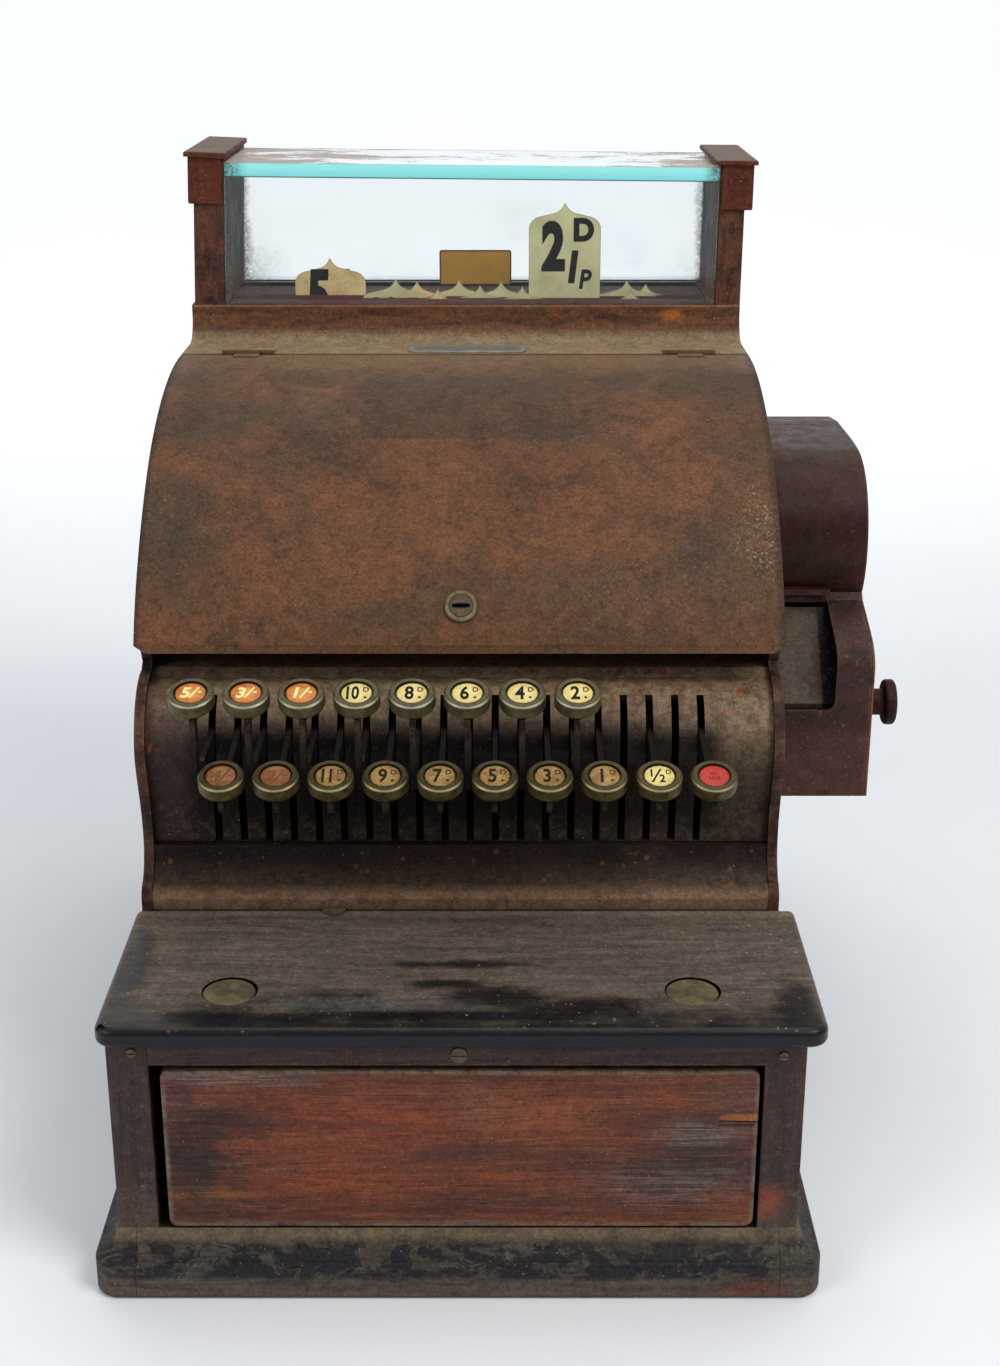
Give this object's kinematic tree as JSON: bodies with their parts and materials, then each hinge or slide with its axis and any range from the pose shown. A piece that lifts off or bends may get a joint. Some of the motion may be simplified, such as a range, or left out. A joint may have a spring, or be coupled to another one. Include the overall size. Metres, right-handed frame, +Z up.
{
  "type": "antique cash register",
  "caption": "Counter-top cash register: key levers raise price flags behind glass, curved hinged lid, paper unit at the side, on a wooden till drawer case.",
  "frame": {"origin": "on the floor, at the centre of the plinth's footprint, under the drawer case", "axes": "+X to the operator's right, +Y to the back, +Z up; the keys and drawer face -Y"},
  "size_m": [0.4, 0.4848, 0.4913],
  "materials": {
    "plinth_wood": "dusty worn stained wood",
    "case_wood": "dark stained hardwood",
    "shelf_wood": "ebonised wood, dusty",
    "drawer_front_wood": "red-brown mahogany, worn",
    "drawer_wood": "plain pine",
    "post_wood": "red-brown stained wood",
    "grained_metal": "wood-grained lacquer on sheet metal",
    "black_metal": "blackened lacquered sheet metal",
    "steel": "dark oiled steel",
    "key_metal": "aged nickel plate",
    "flag_enamel": "cream enamel on sheet metal",
    "maroon_paint": "maroon paint",
    "clear_glass": "clear glass with a green edge",
    "brass": "tarnished brass",
    "spool_paper": "wooden flanges and paper roll"
  },
  "bodies": {
    "cabinet": {"plinth_mouldings": "plinth_wood", "drawer_case": "case_wood", "shelf_board": "shelf_wood", "side_plates": "black_metal", "keyboard_panel": "black_metal", "toe_cove": "black_metal", "back_panel": "black_metal", "indicator_rail": "grained_metal", "end_posts": "post_wood", "glass_panes": "clear_glass", "lever_frame": "steel", "flag_guide": "maroon_paint", "side_unit_case": "grained_metal", "small_fittings": "brass", "bell": "steel"},
    "lid": {"lid": "grained_metal"},
    "lid_lock": {"lid_lock": "brass"},
    "drawer": {"drawer_front": "drawer_front_wood", "drawer_box": "drawer_wood"},
    "drawer_latch": {"drawer_latch": "steel"},
    "bell_hammer": {"bell_hammer": "steel"},
    "paper_knob": {"paper_knob": "steel"},
    "paper_spool": {"paper_spool": "spool_paper"},
    "side_unit_cover": {"side_unit_cover": "grained_metal"},
    "key_5s": {"key_5s": "key_metal"},
    "flag_5s": {"flag_5s": "flag_enamel"},
    "key_4s": {"key_4s": "key_metal"},
    "flag_4s": {"flag_4s": "flag_enamel"},
    "key_3s": {"key_3s": "key_metal"},
    "flag_3s": {"flag_3s": "flag_enamel"},
    "key_2s": {"key_2s": "key_metal"},
    "flag_2s": {"flag_2s": "flag_enamel"},
    "key_1s": {"key_1s": "key_metal"},
    "flag_1s": {"flag_1s": "flag_enamel"},
    "key_11d": {"key_11d": "key_metal"},
    "flag_11d": {"flag_11d": "flag_enamel"},
    "key_10d": {"key_10d": "key_metal"},
    "flag_10d": {"flag_10d": "flag_enamel"},
    "key_9d": {"key_9d": "key_metal"},
    "flag_9d": {"flag_9d": "flag_enamel"},
    "key_8d": {"key_8d": "key_metal"},
    "flag_8d": {"flag_8d": "flag_enamel"},
    "key_7d": {"key_7d": "key_metal"},
    "flag_7d": {"flag_7d": "flag_enamel"},
    "key_6d": {"key_6d": "key_metal"},
    "flag_6d": {"flag_6d": "flag_enamel"},
    "key_5d": {"key_5d": "key_metal"},
    "flag_5d": {"flag_5d": "flag_enamel"},
    "key_4d": {"key_4d": "key_metal"},
    "flag_4d": {"flag_4d": "flag_enamel"},
    "key_3d": {"key_3d": "key_metal"},
    "flag_3d": {"flag_3d": "flag_enamel"},
    "key_2d": {"key_2d": "key_metal"},
    "flag_2d": {"flag_2d": "flag_enamel"},
    "key_1d": {"key_1d": "key_metal"},
    "flag_1d": {"flag_1d": "flag_enamel"},
    "key_halfd": {"key_halfd": "key_metal"},
    "flag_halfd": {"flag_halfd": "flag_enamel"},
    "key_no_sale": {"key_no_sale": "key_metal"},
    "flag_no_sale": {"flag_no_sale": "flag_enamel"}
  },
  "joints": [
    {"name": "lid_hinge", "type": "hinge", "parent": "cabinet", "child": "lid", "pos_m": [0, 0.0946, 0.384], "axis": [-1, 0, 0], "range_deg": [0, 100]},
    {"name": "lock_turn", "type": "hinge", "parent": "lid", "child": "lid_lock", "pos_m": [0.0007, -0.091, 0.2946], "axis": [0, -0.8004, 0.5995], "range_deg": [0, 90]},
    {"name": "drawer_slide", "type": "slide", "parent": "cabinet", "child": "drawer", "axis": [0, -1, 0], "range_m": [0, 0.3]},
    {"name": "latch_pivot", "type": "hinge", "parent": "cabinet", "child": "drawer_latch", "pos_m": [0, 0.212, 0.114], "axis": [1, 0, 0], "range_deg": [0, 9.5], "stiffness_Nm_per_rad": 0.02, "springref_deg": -28.65},
    {"name": "hammer_swing", "type": "hinge", "parent": "cabinet", "child": "bell_hammer", "pos_m": [0.1004, 0.1, 0.1125], "axis": [0, 0, 1], "range_deg": [0, 20], "stiffness_Nm_per_rad": 0.01, "springref_deg": -17.19},
    {"name": "knob_turn", "type": "hinge", "parent": "cabinet", "child": "paper_knob", "pos_m": [0.186, -0.04, 0.225], "axis": [1, 0, 0], "continuous": true},
    {"name": "spool_turn", "type": "hinge", "parent": "cabinet", "child": "paper_spool", "pos_m": [0.186, 0.05, 0.25], "axis": [1, 0, 0], "continuous": true},
    {"name": "cover_hinge", "type": "hinge", "parent": "cabinet", "child": "side_unit_cover", "pos_m": [0.186, 0.1204, 0.279], "axis": [-1, 0, 0], "range_deg": [0, 95]},
    {"name": "key_5s_press", "type": "hinge", "parent": "cabinet", "child": "key_5s", "pos_m": [-0.12215, -0.047, 0.231], "axis": [1, 0, 0], "range_deg": [0, 11.3], "stiffness_Nm_per_rad": 0.05, "springref_deg": -17.19},
    {"name": "flag_5s_rise", "type": "slide", "parent": "cabinet", "child": "flag_5s", "axis": [0, 0, 1], "range_m": [0, 0.0361]},
    {"name": "key_4s_press", "type": "hinge", "parent": "cabinet", "child": "key_4s", "pos_m": [-0.10945, -0.047, 0.231], "axis": [1, 0, 0], "range_deg": [0, 11.3], "stiffness_Nm_per_rad": 0.05, "springref_deg": -17.19},
    {"name": "flag_4s_rise", "type": "slide", "parent": "cabinet", "child": "flag_4s", "axis": [0, 0, 1], "range_m": [0, 0.0482]},
    {"name": "key_3s_press", "type": "hinge", "parent": "cabinet", "child": "key_3s", "pos_m": [-0.09675, -0.047, 0.231], "axis": [1, 0, 0], "range_deg": [0, 11.3], "stiffness_Nm_per_rad": 0.05, "springref_deg": -17.19},
    {"name": "flag_3s_rise", "type": "slide", "parent": "cabinet", "child": "flag_3s", "axis": [0, 0, 1], "range_m": [0, 0.0468]},
    {"name": "key_2s_press", "type": "hinge", "parent": "cabinet", "child": "key_2s", "pos_m": [-0.08405, -0.047, 0.231], "axis": [1, 0, 0], "range_deg": [0, 11.3], "stiffness_Nm_per_rad": 0.05, "springref_deg": -17.19},
    {"name": "flag_2s_rise", "type": "slide", "parent": "cabinet", "child": "flag_2s", "axis": [0, 0, 1], "range_m": [0, 0.0475]},
    {"name": "key_1s_press", "type": "hinge", "parent": "cabinet", "child": "key_1s", "pos_m": [-0.07135, -0.047, 0.231], "axis": [1, 0, 0], "range_deg": [0, 11.3], "stiffness_Nm_per_rad": 0.05, "springref_deg": -17.19},
    {"name": "flag_1s_rise", "type": "slide", "parent": "cabinet", "child": "flag_1s", "axis": [0, 0, 1], "range_m": [0, 0.0461]},
    {"name": "key_11d_press", "type": "hinge", "parent": "cabinet", "child": "key_11d", "pos_m": [-0.05865, -0.047, 0.231], "axis": [1, 0, 0], "range_deg": [0, 11.3], "stiffness_Nm_per_rad": 0.05, "springref_deg": -17.19},
    {"name": "flag_11d_rise", "type": "slide", "parent": "cabinet", "child": "flag_11d", "axis": [0, 0, 1], "range_m": [0, 0.0482]},
    {"name": "key_10d_press", "type": "hinge", "parent": "cabinet", "child": "key_10d", "pos_m": [-0.04595, -0.047, 0.231], "axis": [1, 0, 0], "range_deg": [0, 11.3], "stiffness_Nm_per_rad": 0.05, "springref_deg": -17.19},
    {"name": "flag_10d_rise", "type": "slide", "parent": "cabinet", "child": "flag_10d", "axis": [0, 0, 1], "range_m": [0, 0.0468]},
    {"name": "key_9d_press", "type": "hinge", "parent": "cabinet", "child": "key_9d", "pos_m": [-0.03325, -0.047, 0.231], "axis": [1, 0, 0], "range_deg": [0, 11.3], "stiffness_Nm_per_rad": 0.05, "springref_deg": -17.19},
    {"name": "flag_9d_rise", "type": "slide", "parent": "cabinet", "child": "flag_9d", "axis": [0, 0, 1], "range_m": [0, 0.0475]},
    {"name": "key_8d_press", "type": "hinge", "parent": "cabinet", "child": "key_8d", "pos_m": [-0.02055, -0.047, 0.231], "axis": [1, 0, 0], "range_deg": [0, 11.3], "stiffness_Nm_per_rad": 0.05, "springref_deg": -17.19},
    {"name": "flag_8d_rise", "type": "slide", "parent": "cabinet", "child": "flag_8d", "axis": [0, 0, 1], "range_m": [0, 0.0461]},
    {"name": "key_7d_press", "type": "hinge", "parent": "cabinet", "child": "key_7d", "pos_m": [-0.00785, -0.047, 0.231], "axis": [1, 0, 0], "range_deg": [0, 11.3], "stiffness_Nm_per_rad": 0.05, "springref_deg": -17.19},
    {"name": "flag_7d_rise", "type": "slide", "parent": "cabinet", "child": "flag_7d", "axis": [0, 0, 1], "range_m": [0, 0.0482]},
    {"name": "key_6d_press", "type": "hinge", "parent": "cabinet", "child": "key_6d", "pos_m": [0.00485, -0.047, 0.231], "axis": [1, 0, 0], "range_deg": [0, 11.3], "stiffness_Nm_per_rad": 0.05, "springref_deg": -17.19},
    {"name": "flag_6d_rise", "type": "slide", "parent": "cabinet", "child": "flag_6d", "axis": [0, 0, 1], "range_m": [0, 0.0468]},
    {"name": "key_5d_press", "type": "hinge", "parent": "cabinet", "child": "key_5d", "pos_m": [0.01755, -0.047, 0.231], "axis": [1, 0, 0], "range_deg": [0, 11.3], "stiffness_Nm_per_rad": 0.05, "springref_deg": -17.19},
    {"name": "flag_5d_rise", "type": "slide", "parent": "cabinet", "child": "flag_5d", "axis": [0, 0, 1], "range_m": [0, 0.0475]},
    {"name": "key_4d_press", "type": "hinge", "parent": "cabinet", "child": "key_4d", "pos_m": [0.03025, -0.047, 0.231], "axis": [1, 0, 0], "range_deg": [0, 11.3], "stiffness_Nm_per_rad": 0.05, "springref_deg": -17.19},
    {"name": "flag_4d_rise", "type": "slide", "parent": "cabinet", "child": "flag_4d", "axis": [0, 0, 1], "range_m": [0, 0.0461]},
    {"name": "key_3d_press", "type": "hinge", "parent": "cabinet", "child": "key_3d", "pos_m": [0.04295, -0.047, 0.231], "axis": [1, 0, 0], "range_deg": [0, 11.3], "stiffness_Nm_per_rad": 0.05, "springref_deg": -17.19},
    {"name": "flag_3d_rise", "type": "slide", "parent": "cabinet", "child": "flag_3d", "axis": [0, 0, 1], "range_m": [0, 0.0482]},
    {"name": "key_2d_press", "type": "hinge", "parent": "cabinet", "child": "key_2d", "pos_m": [0.05565, -0.047, 0.231], "axis": [1, 0, 0], "range_deg": [0, 11.3], "stiffness_Nm_per_rad": 0.05, "springref_deg": -17.19},
    {"name": "flag_2d_rise", "type": "slide", "parent": "cabinet", "child": "flag_2d", "axis": [0, 0, 1], "range_m": [-0.046, 0]},
    {"name": "key_1d_press", "type": "hinge", "parent": "cabinet", "child": "key_1d", "pos_m": [0.06835, -0.047, 0.231], "axis": [1, 0, 0], "range_deg": [0, 11.3], "stiffness_Nm_per_rad": 0.05, "springref_deg": -17.19},
    {"name": "flag_1d_rise", "type": "slide", "parent": "cabinet", "child": "flag_1d", "axis": [0, 0, 1], "range_m": [0, 0.0461]},
    {"name": "key_halfd_press", "type": "hinge", "parent": "cabinet", "child": "key_halfd", "pos_m": [0.09375, -0.047, 0.231], "axis": [1, 0, 0], "range_deg": [0, 11.3], "stiffness_Nm_per_rad": 0.05, "springref_deg": -17.19},
    {"name": "flag_halfd_rise", "type": "slide", "parent": "cabinet", "child": "flag_halfd", "axis": [0, 0, 1], "range_m": [0, 0.0482]},
    {"name": "key_no_sale_press", "type": "hinge", "parent": "cabinet", "child": "key_no_sale", "pos_m": [0.11915, -0.047, 0.231], "axis": [1, 0, 0], "range_deg": [0, 11.3], "stiffness_Nm_per_rad": 0.05, "springref_deg": -17.19},
    {"name": "flag_no_sale_rise", "type": "slide", "parent": "cabinet", "child": "flag_no_sale", "axis": [0, 0, 1], "range_m": [0, 0.0489]}
  ],
  "couplings": [
    {"joint": "spool_turn", "follows": "knob_turn", "ratio": 0.605},
    {"joint": "flag_5s_rise", "follows": "key_5s_press", "m_per_rad": 0.18018},
    {"joint": "flag_4s_rise", "follows": "key_4s_press", "m_per_rad": 0.24154},
    {"joint": "flag_3s_rise", "follows": "key_3s_press", "m_per_rad": 0.23444},
    {"joint": "flag_2s_rise", "follows": "key_2s_press", "m_per_rad": 0.23799},
    {"joint": "flag_1s_rise", "follows": "key_1s_press", "m_per_rad": 0.2309},
    {"joint": "flag_11d_rise", "follows": "key_11d_press", "m_per_rad": 0.24154},
    {"joint": "flag_10d_rise", "follows": "key_10d_press", "m_per_rad": 0.23444},
    {"joint": "flag_9d_rise", "follows": "key_9d_press", "m_per_rad": 0.23799},
    {"joint": "flag_8d_rise", "follows": "key_8d_press", "m_per_rad": 0.2309},
    {"joint": "flag_7d_rise", "follows": "key_7d_press", "m_per_rad": 0.24154},
    {"joint": "flag_6d_rise", "follows": "key_6d_press", "m_per_rad": 0.23444},
    {"joint": "flag_5d_rise", "follows": "key_5d_press", "m_per_rad": 0.23799},
    {"joint": "flag_4d_rise", "follows": "key_4d_press", "m_per_rad": 0.2309},
    {"joint": "flag_3d_rise", "follows": "key_3d_press", "m_per_rad": 0.24154},
    {"joint": "flag_1d_rise", "follows": "key_1d_press", "m_per_rad": 0.2309},
    {"joint": "flag_halfd_rise", "follows": "key_halfd_press", "m_per_rad": 0.24154},
    {"joint": "flag_no_sale_rise", "follows": "key_no_sale_press", "m_per_rad": 0.24508}
  ]
}
